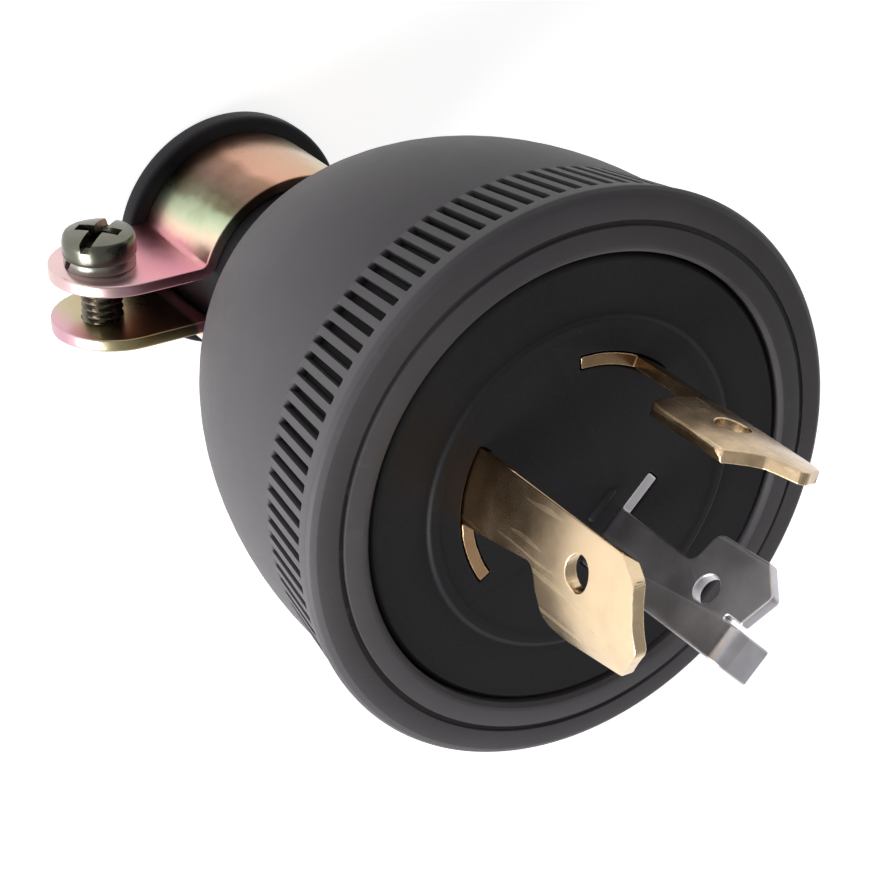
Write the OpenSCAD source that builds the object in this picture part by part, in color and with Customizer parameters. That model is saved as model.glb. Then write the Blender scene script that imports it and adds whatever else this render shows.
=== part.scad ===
// Three-pole locking power plug with a knurled cover, a rubber cord bush and a bolted cord clamp.
// +Z is the plug's axis towards the blades. The plug stands on the rear end of its cord bush at z = 0.

/* [Cover] */
// Largest diameter, at the smooth front rim
body_d = 52; // [49:0.1:66]
// Length of the cover from its rear lip to the front face
cover_len = 40.5; // [33:0.1:54]
// Width of the cover's rear lip around the cord bush
lip_w = 4.55; // [3:0.05:7]
// How far the dome lies inside the rim
dome_inset = 1.5; // [0.8:0.1:2.5]
// Wall of the dome
cover_wall = 3; // [2:0.1:4]
// Wall of the cover's rear lip, which holds the bush
lip_t = 4.1; // [3:0.1:6]
// Number of grip ribs around the cover
rib_count = 104; // [48:1:124]
// Length of the grip ribs
rib_len = 7.4; // [4:0.1:12]
// Depth of the grooves between the ribs
rib_depth = 0.8; // [0.4:0.1:1.2]
// Smooth band between the ribs and the front face
band_front = 2.8; // [1.8:0.1:5]
// Width of the bevel at the front edge of the rim
rim_bevel = 1.2; // [0.5:0.1:2]
// How far the front face falls back towards the bevel
front_slope = 0.5; // [0.2:0.05:0.8]

/* [Core] */
// Diameter of the core that screws into the cover
core_d = 40.9; // [38:0.1:42]
// Thickness of the core
core_t = 9.5; // [8:0.1:12]
// How far the core's face lies behind the front face
core_recess = 0.4; // [0:0.05:1]
// Diameter of the raised middle of the core's face
plateau_d = 29.8; // [28:0.1:34]
// Width of the ledge in the cover that stops the core
ledge_w = 1.7; // [1:0.1:2]

/* [Blades] */
// Thickness of the blade metal
blade_t = 1.1; // [0.8:0.01:1.5]
// Radius of the middle of the two curved line blades
line_r = 11.3; // [10.8:0.1:12]
// Angle covered by the wide left line blade where it fills its slot
left_slot_angle = 64; // [52:1:68]
// Angle covered by the narrow right line blade where it fills its slot
right_slot_angle = 45; // [45:1:56]
// Reach of the line blades in front of the core's face
line_reach = 24.9; // [20:0.1:30]
// Distance of the flat ground blade from the axis
ground_y = 6.15; // [5.5:0.05:7.4]
// Full width of the ground blade where it fills its slot
ground_w = 9.6; // [8:0.1:10.4]
// Reach of the ground blade in front of the core's face
ground_reach = 19.9; // [16:0.1:24]
// Width of the tab bent outwards at the tip of the ground blade
tab_w = 3.4; // [2:0.1:4]
// How far the tab stands out from the ground blade
tab_reach = 3.2; // [1.5:0.1:4.5]
// Height of the left hook's rear edge above the core's face
left_hook_z = 10.5; // [8.5:0.1:13]
// Height of the right hook's rear edge above the core's face
right_hook_z = 9.3; // [7.5:0.1:13]
// Height of the ground hook's rear edge above the core's face
ground_hook_z = 10.3; // [8.5:0.1:12.5]
// Diameter of the hole in each blade
blade_hole_d = 2.9; // [2:0.1:3.4]

/* [Terminals] */
// Width of each terminal foot
foot_w = 9; // [8:0.1:9.6]
// Reach of each terminal foot from the axis
foot_reach = 17.8; // [17:0.1:18]
// Distance of the line terminal screws from the axis
terminal_r = 14.6; // [14:0.1:14.8]
// Thread diameter of the terminal screws
terminal_screw_d = 4; // [3:0.5:4]
// Head diameter of the terminal screws
terminal_head_d = 6.4; // [5.4:0.1:6.4]
// Thickness of the wire plates
wire_plate_t = 1; // [0.6:0.1:1.5]
// Height of the barrier walls between the terminals
barrier_h = 9; // [6:0.5:12]
// Thread diameter of the barrier screws
barrier_screw_d = 3; // [2.5:0.5:3]

/* [Cord bush and clamp] */
// Diameter of the cord hole
cord_d = 13; // [9:0.1:17]
// Wall of the bush around the cord
bush_wall = 2.65; // [2:0.05:4]
// How far the bush's rear flange stands out beyond its neck
flange_w = 2.75; // [1.5:0.05:5]
// Thickness of the bush's rear flange
flange_t = 2.2; // [1.6:0.1:6]
// Thickness of the bush's inner flange
inner_flange_t = 3; // [2:0.1:4]
// Width of the clamp band
band_w = 12.4; // [9:0.1:16]
// Thickness of the clamp band
band_t = 1.2; // [0.8:0.1:2]
// Bare stretch of bush between the clamp band and the cover
neck_gap = 7.85; // [2:0.05:12]
// Gap between the clamp's ears
ear_gap = 4.3; // [2.5:0.1:7]
// Length of the ears beyond the clamp's ring
ear_len = 12.2; // [10:0.1:18]
// Distance of the clamp screw from the tips of the ears
ear_hole_in = 4.8; // [4:0.1:6]
// Direction of the ears around the axis
ear_angle = 135; // [0:1:359]
// Thread diameter of the clamp screw
clamp_screw_d = 4; // [3:0.1:5]

/* [Hidden] */
$fn = 96;
eps = 0.01;
fit = 0.1;               // clearance of a sliding fit, on the radius
seat = 0.05;             // clearance of a close seat

// heights from the rear end
band_z = flange_t + seat;
cover_z = band_z + band_w + neck_gap;
face_z = cover_z + cover_len;
core_face_z = face_z - core_recess;
core_z = core_face_z - core_t;
rib_z1 = face_z - band_front;
rib_z = rib_z1 - rib_len;
inner_flange_z = cover_z + lip_t + seat;
foot_z = core_z - blade_t;
wire_plate_z = foot_z - wire_plate_t;
terminal_washer_h = 0.9;
terminal_washer_z = wire_plate_z - terminal_washer_h;

// radii
rim_r = body_d / 2;
dome_r = rim_r - dome_inset;
rib_r = rim_r - 0.33;
core_r = core_d / 2;
core_bore_r = core_r + 2 * fit;
cavity_r = core_bore_r - ledge_w;
groove_r = core_bore_r + 0.6 * (rim_r - rim_bevel - core_bore_r);
neck_r = cord_d / 2 + bush_wall;
flange_r = neck_r + flange_w;
lip_r = neck_r + fit + lip_w;
dome_drop = dome_r - lip_r;
dome_arc_r = (dome_drop * dome_drop + pow(rib_z - cover_z, 2)) / (2 * dome_drop);
dome_arc_x = dome_r - dome_arc_r;
inner_flange_top = inner_flange_z + inner_flange_t;
inner_flange_r = dome_arc_x + sqrt(pow(dome_arc_r - cover_wall, 2) - pow(rib_z - inner_flange_z, 2)) - 0.4;
line_r1 = line_r + blade_t / 2;
line_r0 = line_r - blade_t / 2;
plateau_h = 0.35;

// angles of the three poles around the axis
left_angle = 135.5;
right_angle = 24.5;
ground_angle = 270;
ground_half_angle = 31;   // angle the ground terminal takes up on each side
ground_x = -0.5;          // middle of the ground blade's slot
left_half = left_slot_angle / 2;
right_half = right_slot_angle / 2;
arm_angles = [for (p = [[right_angle + right_half, left_angle - left_half],
                        [left_angle + left_half, ground_angle - ground_half_angle],
                        [ground_angle + ground_half_angle, right_angle + 360 - right_half]])
    (p[0] + p[1]) / 2];
arm_spread = 9;           // turn of a wall and of a screw pad from the middle of the gap
pad_r = 13.5;             // distance of the barrier screws from the axis
pad_d = 6.8;
wall_t = 2.2;
wall_reach = cavity_r - 1.1;
hub_r = terminal_r - terminal_head_d / 2 - 0.4;
barrier_plate_t = 2;
barrier_plate_z = foot_z - barrier_plate_t;
barrier_head_h = 1.9;

terminal_head_h = 2.4;
terminal_shank = 7.5;
barrier_shank = 9;

clamp_z = band_z + band_w / 2;
band_r0 = neck_r + seat;
band_r1 = band_r0 + band_t;
bend_r = 0.7;             // radius of the bends between the clamp's ring and its ears
bend_y = ear_gap / 2 + band_t + bend_r;
bend_x = sqrt(pow(band_r1 + bend_r, 2) - bend_y * bend_y);
ear_reach = band_r1 + ear_len;
ear_end_x = ear_reach - band_w / 2;
clamp_r = ear_reach - ear_hole_in;
collar_h = 1;             // collar drawn out round the tapped hole of the far ear
collar_w = 0.9;
clamp_head_d = 1.75 * clamp_screw_d;
clamp_head_h = 0.62 * clamp_screw_d;
clamp_washer_h = 1;

// ---- shapes that repeat ----

// Flat shape of w by h with rounded corners, its lower left corner at the origin
module rounded_rect(w, h, r) {
    translate([r, 0]) square([w - 2 * r, h]);
    translate([0, r]) square([w, h - 2 * r]);
    for (x = [r, w - r], y = [r, h - r]) translate([x, y]) circle(r = r);
}

// Pan head with a cross recess, its top at +z and its underside at z = 0
module pan_head(d, h) {
    difference() {
        rotate_extrude()
            intersection() {
                translate([-d, 0]) rounded_rect(d * 1.5, h, h * 0.45);
                square([d, h]);
            }
        for (a = [0, 90]) rotate([0, 0, a])
            translate([-d * 0.29, -d * 0.06, h * 0.45]) cube([d * 0.58, d * 0.12, h]);
        translate([0, 0, h * 0.3]) cylinder(d1 = d * 0.1, d2 = d * 0.3, h = h * 0.7 + eps);
    }
}

// Pan head screw whose head lies on z = 0 and whose shank runs down
module pan_screw(head_d, head_h, shank_d, shank_l) {
    pan_head(head_d, head_h);
    translate([0, 0, -shank_l + 0.4]) cylinder(d = shank_d, h = shank_l - 0.4 + eps);
    translate([0, 0, -shank_l]) cylinder(d1 = shank_d - 0.8, d2 = shank_d, h = 0.4);
}

// Spring washer for a screw of diameter d: a ring w wide and h thick, split on a slant
module spring_washer(d, w, h) {
    difference() {
        cylinder(d = d + 2 * fit + 2 * w, h = h);
        translate([0, 0, -1]) cylinder(d = d + 2 * fit, h = h + 2);
        translate([0, 0, h / 2]) rotate([25, 0, 0]) translate([0, -0.3, -3]) cube([d + w, 0.6, 6]);
    }
}

// A polygon whose corners [x, y, r] are rounded to r
function unit(v) = v / norm(v);
function corner(a, b, c, r, n = 6) =
    r == 0 ? [b] :
    let (u = unit(a - b), v = unit(c - b), half = acos(u * v) / 2,
         centre = b + unit(u + v) * r / sin(half),
         from = b + u * r / tan(half) - centre, to = b + v * r / tan(half) - centre,
         start = atan2(from.y, from.x), turn = atan2(to.y, to.x) - start,
         sweep = turn > 180 ? turn - 360 : turn < -180 ? turn + 360 : turn)
    [for (i = [0 : n]) centre + r * [cos(start + sweep * i / n), sin(start + sweep * i / n)]];
function flat(p) = [p.x, p.y];
function rounded(p) = [for (i = [0 : len(p) - 1])
    each corner(flat(p[(i + len(p) - 1) % len(p)]), flat(p[i]), flat(p[(i + 1) % len(p)]), p[i].z)];

// Ring sector from radius r0 to r1, between two angles and two heights
module sector(r0, r1, a0, a1, z0, z1) {
    rotate([0, 0, a0]) translate([0, 0, z0]) rotate_extrude(angle = a1 - a0)
        translate([r0, 0]) square([r1 - r0, z1 - z0]);
}

// Stands a flat shape drawn in (y, z) across the x axis, from x0 to x1
module across_x(x0, x1) {
    translate([x0, 0, 0]) rotate([90, 0, 90]) linear_extrude(x1 - x0) children();
}

// Stands a flat shape drawn in (x, z) across the y axis, from y0 to y1
module across_y(y0, y1) {
    translate([0, y1, 0]) rotate([90, 0, 0]) linear_extrude(y1 - y0) children();
}

// ---- cover ----

module cover_outline() {
    intersection() {
        translate([dome_arc_x, rib_z]) circle(r = dome_arc_r);
        polygon([[0, cover_z], [lip_r - 0.7, cover_z], [rim_r, cover_z + 0.36 * (rim_r - lip_r + 0.7)],
                 [rim_r, rib_z], [0, rib_z]]);
    }
    bevel_z = face_z - front_slope;
    polygon([[0, rib_z - eps], [dome_r - rib_depth, rib_z - eps], [rib_r - rib_depth, rib_z1],
             [rib_r, rib_z1], [rim_r, rib_z1 + 0.5 * band_front],
             [rim_r - 0.2 * rim_bevel, bevel_z - 0.4 * rim_bevel],
             [rim_r - 0.6 * rim_bevel, bevel_z - 0.1 * rim_bevel],
             [rim_r - rim_bevel, bevel_z], [core_bore_r + 0.7, face_z], [0, face_z]]);
}

module cover_inside() {
    intersection() {
        translate([dome_arc_x, rib_z]) circle(r = dome_arc_r - cover_wall);
        translate([0, cover_z + lip_t]) square([cavity_r, core_z - cover_z - lip_t]);
    }
    translate([0, core_z - 2]) square([cavity_r, 2 + eps]);
    translate([0, cover_z - 1]) square([neck_r + fit, lip_t + 2]);
    translate([0, core_z]) square([core_bore_r, core_t + core_recess + 1]);
    translate([0, face_z - 0.35]) polygon([[0, 0], [core_bore_r, 0], [core_bore_r + 0.5, 0.5], [0, 0.5]]);
    translate([groove_r - 0.2, face_z - front_slope - 0.1]) square([0.4, 1]);
}

// Ribs whose tops carry the dome's surface on to the smooth front band
module grip_ribs() {
    pitch = 360 / rib_count;
    inner_r = dome_r - rib_depth - 0.6;
    foot = inner_r + 0.3;
    top = rib_r + 0.1;
    intersection() {
        translate([0, 0, rib_z]) linear_extrude(rib_len + eps) difference() {
            polygon([for (i = [0 : rib_count - 1],
                          k = [[-0.34, foot], [-0.25, top], [0.25, top], [0.34, foot]])
                k.y * [cos((i + k.x) * pitch), sin((i + k.x) * pitch)]]);
            circle(r = inner_r - 0.4);
        }
        rotate_extrude() polygon([[inner_r - 1, rib_z - 1], [dome_r, rib_z - 1], [dome_r, rib_z],
                                  [rib_r, rib_z1 + eps], [rib_r, rib_z1 + 1], [inner_r - 1, rib_z1 + 1]]);
    }
}

module cover() {
    color("#242528") {
        rotate_extrude() difference() {
            cover_outline();
            cover_inside();
        }
        grip_ribs();
    }
}

// ---- core ----

// Places its children on each of the three poles, with +x pointing outwards
module at_left() { rotate([0, 0, left_angle]) children(); }
module at_right() { rotate([0, 0, right_angle]) children(); }
module at_ground() { translate([ground_x, 0, 0]) rotate([0, 0, ground_angle]) children(); }

// Places its children on each barrier screw
module at_pads() {
    for (i = [0 : 2]) at_pad(i) children();
}
module at_pad(i) {
    rotate([0, 0, arm_angles[i] + arm_spread]) translate([pad_r, 0, 0]) children();
}

module core() {
    plateau_r = plateau_d / 2;
    slot_gap = 0.5;
    depth = core_t + 4;
    color("#1d1e20") {
        difference() {
            rotate_extrude() polygon([[0, core_z], [core_r - 0.4, core_z], [core_r, core_z + 0.4],
                [core_r, core_face_z - 0.45], [core_r - 0.45, core_face_z], [plateau_r + 0.3, core_face_z],
                [plateau_r, core_face_z + plateau_h], [plateau_r - 0.6, core_face_z + plateau_h],
                [plateau_r - 0.9, core_face_z + plateau_h - 0.15], [0, core_face_z + plateau_h - 0.15]]);
            at_left() blade_slot(left_half + slot_gap);
            at_right() blade_slot(right_half + slot_gap);
            at_ground() translate([ground_y - blade_t / 2 - fit, -ground_w / 2 - fit, core_z - 1])
                cube([blade_t + 2 * fit, ground_w + 2 * fit, depth]);
            for (k = [0 : 2]) at_pole(k) translate([terminal_r, 0, core_z - 1])
                cylinder(d = terminal_screw_d + 4 * fit, h = terminal_shank);
            at_pads() translate([0, 0, core_z - 1])
                cylinder(d = barrier_screw_d + 2 * seat, h = barrier_shank - 1.5);
        }
        // raised bar that marks the ground slot
        translate([ground_x - 1.5, 2.55 - ground_y, core_face_z]) cube([3.3, 0.5, plateau_h + 0.15]);
    }
}
module blade_slot(half) {
    sector(line_r0 - fit, line_r1 + fit, -half, half, core_z - 1, core_face_z + 3);
}
module at_pole(k) {
    if (k == 0) at_left() children();
    if (k == 1) at_right() children();
    if (k == 2) at_ground() children();
}

// ---- blades ----

// Foot with a tapped hole, turned outwards behind the core
module terminal_foot(from_x) {
    difference() {
        translate([from_x, 0, foot_z]) linear_extrude(blade_t)
            polygon(rounded([[0, -foot_w / 2, 0], [foot_reach - from_x, -foot_w / 2, 1.5],
                             [foot_reach - from_x, foot_w / 2, 1.5], [0, foot_w / 2, 0]]));
        translate([terminal_r, 0, foot_z - 1]) cylinder(d = terminal_screw_d + 2 * seat, h = blade_t + 2);
    }
}

// Corners of a blade's part behind and in the core, from -edge to edge, then of its neck at neck_y
function blade_root(edge, neck_y) = [[-edge, -core_t - blade_t, 0], [edge, -core_t - blade_t, 0],
                                     [edge, 0.25, 0], [neck_y, 0.25, 0]];

// Side view of the wide line blade, y across it and z from the core's face
module left_outline() {
    half = line_r1 * sin(left_half);
    hook = [[-0.17 * half, left_hook_z, 1], [0.66 * half, left_hook_z + 0.8, 1.1],
            [0.71 * half, left_hook_z + 3.5, 1.5]];
    tip = [[0.5 * half, line_reach - 2.4, 0.8], [-0.02 * half, line_reach, 1],
           [-0.78 * half, line_reach - 2, 1.6], [-0.99 * half, line_reach - 4.6, 1.5],
           [-half - 1, line_reach - 10, 0]];
    polygon(rounded(concat(blade_root(half + 1, 0.05 * half), hook, tip)));
}

// Side view of the narrow line blade
module right_outline() {
    half = line_r1 * sin(right_half);
    hook = [[-0.33 * half, right_hook_z, 0.8], [0.96 * half, right_hook_z + 0.2, 0.9],
            [0.98 * half, line_reach - 6, 1.2]];
    tip = [[0.38 * half, line_reach - 3.4, 1.2], [0.1 * half, line_reach, 0.7],
           [-0.5 * half, line_reach - 1.6, 1], [-0.88 * half, line_reach - 4.2, 1],
           [-half - 1, line_reach - 8, 0]];
    polygon(rounded(concat(blade_root(half + 1, -0.25 * half), hook, tip)));
}

// Blade rolled to the line radius, its outline drawn by its child, with a hole hole_z above the face
module line_blade(half_angle, hole_y, hole_z) {
    difference() {
        intersection() {
            sector(line_r0, line_r1, -half_angle, half_angle, foot_z, core_face_z + line_reach + 1);
            translate([0, 0, core_face_z]) across_x(line_r0 * 0.6, line_r1 + 1) children();
        }
        translate([line_r0 * 0.6, hole_y, core_face_z + hole_z]) rotate([0, 90, 0])
            cylinder(d = blade_hole_d, h = line_r1);
    }
    terminal_foot(line_r);
}

module line_blade_left() {
    color("#c9a45c") at_left() line_blade(left_half, -2.9, left_hook_z + 5.7) left_outline();
}
module line_blade_right() {
    color("#c9a45c") at_right() line_blade(right_half, 0.4, right_hook_z + 6) right_outline();
}

// Side view of the ground blade's flat part, y along its slot and z from the core's face
module ground_outline() {
    half = ground_w / 2;
    notch = tab_w + 0.4 - half;
    hook = [[0.9, ground_hook_z, 0.9], [half - 0.7, ground_hook_z + 0.5, 0.9]];
    tip = [[half - 0.4, ground_reach - 2.5, 0.4], [half * 0.46, ground_reach, 0.5],
           [notch, ground_reach - 1.1, 0.2], [notch, ground_reach - 3, 0], [-half, ground_reach - 3, 0]];
    polygon(rounded(concat(blade_root(half, 1), hook, tip)));
}

// Section of the tab, x outwards and z from the core's face
module tab_section() {
    x0 = ground_y - blade_t / 2;
    x1 = x0 + blade_t;
    top = ground_reach - 0.6;
    polygon(rounded([[x0, ground_reach - 3.5, 0], [x1, ground_reach - 3.5, 0], [x1, top - blade_t, 0.4],
        [x1 + tab_reach, top - blade_t, 0.2], [x1 + tab_reach, top, 0.2], [x0, top, 1.4]]));
}

module ground_blade() {
    x0 = ground_y - blade_t / 2;
    color("#c4c6c8") at_ground() {
        difference() {
            translate([0, 0, core_face_z]) across_x(x0, x0 + blade_t) ground_outline();
            translate([x0 - 1, -0.3, core_face_z + ground_hook_z + 3.2]) rotate([0, 90, 0])
                cylinder(d = blade_hole_d - 0.4, h = blade_t + 2);
        }
        translate([0, 0, core_face_z]) across_y(-ground_w / 2, tab_w - ground_w / 2) tab_section();
        terminal_foot(ground_y);
    }
}

// ---- terminals ----

module terminal_barrier() {
    color("#3b3a38") difference() {
        union() {
            translate([0, 0, barrier_plate_z]) cylinder(r = hub_r, h = barrier_plate_t);
            at_pads() translate([0, 0, barrier_plate_z]) cylinder(d = pad_d, h = core_z - barrier_plate_z);
            for (a = arm_angles) rotate([0, 0, a - arm_spread]) {
                translate([3, -wall_t / 2, foot_z - barrier_h])
                    cube([wall_reach - 3, wall_t, core_z - foot_z + barrier_h]);
            }
        }
        at_pads() translate([0, 0, barrier_plate_z - 1]) cylinder(d = barrier_screw_d + 2 * fit, h = 8);
    }
}

module barrier_screw(i) {
    color("#a9abad") at_pad(i) translate([0, 0, barrier_plate_z]) mirror([0, 0, 1])
        pan_screw(barrier_screw_d * 1.8, barrier_head_h, barrier_screw_d, barrier_shank);
}

module terminal_screw(k, tint) {
    color(tint) at_pole(k) translate([terminal_r, 0, terminal_washer_z]) mirror([0, 0, 1])
        pan_screw(terminal_head_d, terminal_head_h, terminal_screw_d, terminal_shank);
}

module terminal_washer(k) {
    color("#a9abad") at_pole(k) translate([terminal_r, 0, terminal_washer_z])
        spring_washer(terminal_screw_d, 1, terminal_washer_h);
}

module wire_plate(k) {
    w = 2 * (foot_reach - terminal_r);
    color("#b98f45") at_pole(k) translate([terminal_r, 0, wire_plate_z]) difference() {
        translate([-w / 2, -w / 2, 0]) linear_extrude(wire_plate_t) rounded_rect(w, w, 0.8);
        translate([0, 0, -1]) cylinder(d = terminal_screw_d + 4 * fit, h = wire_plate_t + 2);
    }
}

// ---- cord bush and clamp ----

module cord_bush() {
    color("#26272a") rotate_extrude() difference() {
        union() {
            intersection() {
                translate([-2, 0]) rounded_rect(flange_r + 2, flange_t, 0.6);
                square([flange_r, flange_t]);
            }
            translate([0, flange_t / 2]) square([neck_r, inner_flange_z - flange_t / 2 + eps]);
            translate([0, inner_flange_z]) polygon([[0, 0], [inner_flange_r, 0],
                [inner_flange_r, inner_flange_t - 0.8], [inner_flange_r - 0.8, inner_flange_t],
                [0, inner_flange_t]]);
        }
        translate([-1, -1]) square([cord_d / 2 + 1, inner_flange_top + 2]);
        polygon([[0, -eps], [cord_d / 2 + 1, -eps], [cord_d / 2, 1], [0, 1]]);
    }
}

// Turns its children to the ears: x runs out along them and y across the gap
module at_ears() {
    rotate([0, 0, ear_angle]) translate([0, 0, clamp_z]) children();
}

// Section of the clamp's ring, of the bends that lead to its ears and of the roots of the ears
module ring_section() {
    away = 3 * band_r1 * unit([bend_x, bend_y]);
    difference() {
        circle(r = band_r1);
        circle(r = band_r0);
        polygon([[0, 0], away, [away.x, -away.y]]);
    }
    for (side = [-1, 1]) intersection() {
        translate([bend_x, side * bend_y]) difference() {
            circle(r = bend_r + band_t);
            circle(r = bend_r);
        }
        polygon([[bend_x, side * bend_y], [0, 0], [bend_x, -side * bend_y]]);
    }
    for (y = [-ear_gap / 2 - band_t, ear_gap / 2]) translate([bend_x, y]) square([2, band_t]);
    // ties ring and bends into one strip where their edges meet
    turn = atan2(bend_y, bend_x);
    for (a = [-turn, turn]) rotate(a) translate([band_r0 + 0.2, -0.1]) square([band_t - 0.4, 0.2]);
}

// Flat shape of an ear, from its root to its round end
module ear_shape() {
    translate([bend_x + 1, -band_w / 2]) square([ear_end_x - bend_x - 1, band_w]);
    intersection() {
        translate([ear_end_x, 0]) circle(d = band_w);
        translate([ear_end_x, -band_w]) square(2 * band_w);
    }
}

module clamp_band() {
    inside = ear_gap / 2;
    outside = inside + band_t;
    collar_d = clamp_screw_d + 2 * collar_w;
    color("#d9b48f") difference() {
        union() {
            at_ears() {
                translate([0, 0, -band_w / 2]) linear_extrude(band_w) ring_section();
                across_y(-outside, -inside) ear_shape();
                across_y(inside, outside) ear_shape();
            }
            at_clamp_screw() translate([0, 0, -2 * outside - collar_h])
                cylinder(d1 = collar_d - 0.4, d2 = collar_d, h = collar_h + eps);
        }
        at_clamp_screw() {
            translate([0, 0, -outside]) cylinder(d = clamp_screw_d + 4 * fit, h = 2 * outside);
            translate([0, 0, -2 * outside - collar_h - 1])
                cylinder(d = clamp_screw_d + 2 * seat, h = 2 * outside);
        }
    }
}

// Places its children on the clamp screw, with +z pointing out of its head
module at_clamp_screw() {
    at_ears() translate([clamp_r, -ear_gap / 2 - band_t, 0]) rotate([90, 0, 0]) children();
}

module clamp_screw() {
    shank = clamp_washer_h + 2 * band_t + ear_gap + collar_h + 0.6;
    color("#b5b8ba") at_clamp_screw() translate([0, 0, clamp_washer_h])
        pan_screw(clamp_head_d, clamp_head_h, clamp_screw_d, shank);
}

module clamp_spring_washer() {
    color("#8f9294") at_clamp_screw() rotate([0, 0, 40]) spring_washer(clamp_screw_d, 1.3, clamp_washer_h);
}

cover();
core();
line_blade_left();
line_blade_right();
ground_blade();
terminal_barrier();
barrier_screw(0);  // barrier_screw_a
barrier_screw(1);  // barrier_screw_b
barrier_screw(2);  // barrier_screw_c
terminal_screw(0, "#b98f45");  // terminal_screw_left
terminal_screw(1, "#b98f45");  // terminal_screw_right
terminal_screw(2, "#3f7d4a");  // terminal_screw_ground
terminal_washer(0);  // terminal_washer_left
terminal_washer(1);  // terminal_washer_right
terminal_washer(2);  // terminal_washer_ground
wire_plate(0);  // wire_plate_left
wire_plate(1);  // wire_plate_right
wire_plate(2);  // wire_plate_ground
cord_bush();
clamp_band();
clamp_screw();
clamp_spring_washer();
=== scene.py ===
import math

import bmesh
import bpy
from bpy.props import FloatProperty, FloatVectorProperty, IntProperty, PointerProperty
from mathutils import Matrix, Vector


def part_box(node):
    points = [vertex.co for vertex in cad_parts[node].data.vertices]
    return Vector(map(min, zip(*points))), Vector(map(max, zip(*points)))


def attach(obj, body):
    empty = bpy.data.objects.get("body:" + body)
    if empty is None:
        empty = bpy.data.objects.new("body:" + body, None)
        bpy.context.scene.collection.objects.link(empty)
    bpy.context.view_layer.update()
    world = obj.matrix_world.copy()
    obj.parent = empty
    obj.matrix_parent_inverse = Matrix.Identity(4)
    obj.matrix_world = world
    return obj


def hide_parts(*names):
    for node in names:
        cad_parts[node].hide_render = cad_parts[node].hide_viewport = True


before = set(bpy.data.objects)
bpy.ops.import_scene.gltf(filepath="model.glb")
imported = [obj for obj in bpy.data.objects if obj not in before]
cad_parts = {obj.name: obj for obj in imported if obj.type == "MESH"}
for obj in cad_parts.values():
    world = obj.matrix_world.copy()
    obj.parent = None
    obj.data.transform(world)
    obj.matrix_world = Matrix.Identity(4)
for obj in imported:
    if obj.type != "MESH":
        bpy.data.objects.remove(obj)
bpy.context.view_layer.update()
CAD = {name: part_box(name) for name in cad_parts}

bl_info = {
    "name": "Locking Power Plug",
    "version": (1, 0, 0),
    "blender": (4, 5, 0),
    "location": "View3D > Sidebar > Plug",
    "description": "Builds a three-pole locking plug on its CAD model and sets up its stage",
    "category": "Object",
}

MM = 0.001

# Sizes that more than one piece uses, in millimetres.
BLADE_CIRCLE = 11.3  # radius that the line blades are rolled on
STRIP = 1.2  # thickness of the clamp band's strip
EAR_GAP = 4.3  # between the clamp band's ears
EAR_HOLE = 17.8  # from the plug's axis to the hole in the ears
WASHER_BORE = 2.1  # inner radius of the spring washers
AXIS = 0.001  # radius of an outline's end on the axis

SHARP = math.radians(35)  # an edge of a CAD node that turns by more than this is rounded
EARS = math.radians(135)  # direction of the clamp band's ears, round the plug's axis

# Where a rib's top ends and the groove's floor starts, as shares of the pitch from the rib's middle.
RIB_TOP, GROOVE_FLOOR = 0.235, 0.32


# ---------------------------------------------------------------- settings


class PlugFinish(bpy.types.PropertyGroup):
    """Colours and surface finish of the plug's materials"""

    cover: FloatVectorProperty(
        name="Cover", description="Colour of the moulded cover",
        subtype="COLOR", size=3, min=0, max=1, default=(0.095, 0.088, 0.095))
    core: FloatVectorProperty(
        name="Core", description="Colour of the moulded core that holds the blades",
        subtype="COLOR", size=3, min=0, max=1, default=(0.018, 0.0175, 0.0205))
    rubber: FloatVectorProperty(
        name="Rubber", description="Colour of the cord bush",
        subtype="COLOR", size=3, min=0, max=1, default=(0.013, 0.013, 0.017))
    barrier: FloatVectorProperty(
        name="Barrier", description="Colour of the insulating barrier behind the core",
        subtype="COLOR", size=3, min=0, max=1, default=(0.09, 0.085, 0.08))
    brass: FloatVectorProperty(
        name="Blade brass", description="Colour of the line blades",
        subtype="COLOR", size=3, min=0, max=1, default=(0.90, 0.69, 0.45))
    terminal: FloatVectorProperty(
        name="Terminal brass", description="Colour of the terminal screws and wire plates",
        subtype="COLOR", size=3, min=0, max=1, default=(0.72, 0.5, 0.22))
    nickel: FloatVectorProperty(
        name="Nickel", description="Colour of the plated ground blade",
        subtype="COLOR", size=3, min=0, max=1, default=(0.70, 0.68, 0.72))
    zinc: FloatVectorProperty(
        name="Zinc", description="Colour of the zinc-plated screws and washers",
        subtype="COLOR", size=3, min=0, max=1, default=(0.40, 0.41, 0.37))
    # Dark olive plate, made darker still as painted shade for the dark bush that the screw reflects.
    screw: FloatVectorProperty(
        name="Clamp screw", description="Colour of the clamp's dull plated screw",
        subtype="COLOR", size=3, min=0, max=1, default=(0.17, 0.17, 0.135))
    green: FloatVectorProperty(
        name="Ground green", description="Dye on the ground terminal screw",
        subtype="COLOR", size=3, min=0, max=1, default=(0.05, 0.24, 0.09))
    gloss: FloatProperty(
        name="Moulding roughness", description="Roughness of the moulded surfaces",
        subtype="FACTOR", min=0.1, max=0.9, default=0.42)


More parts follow.
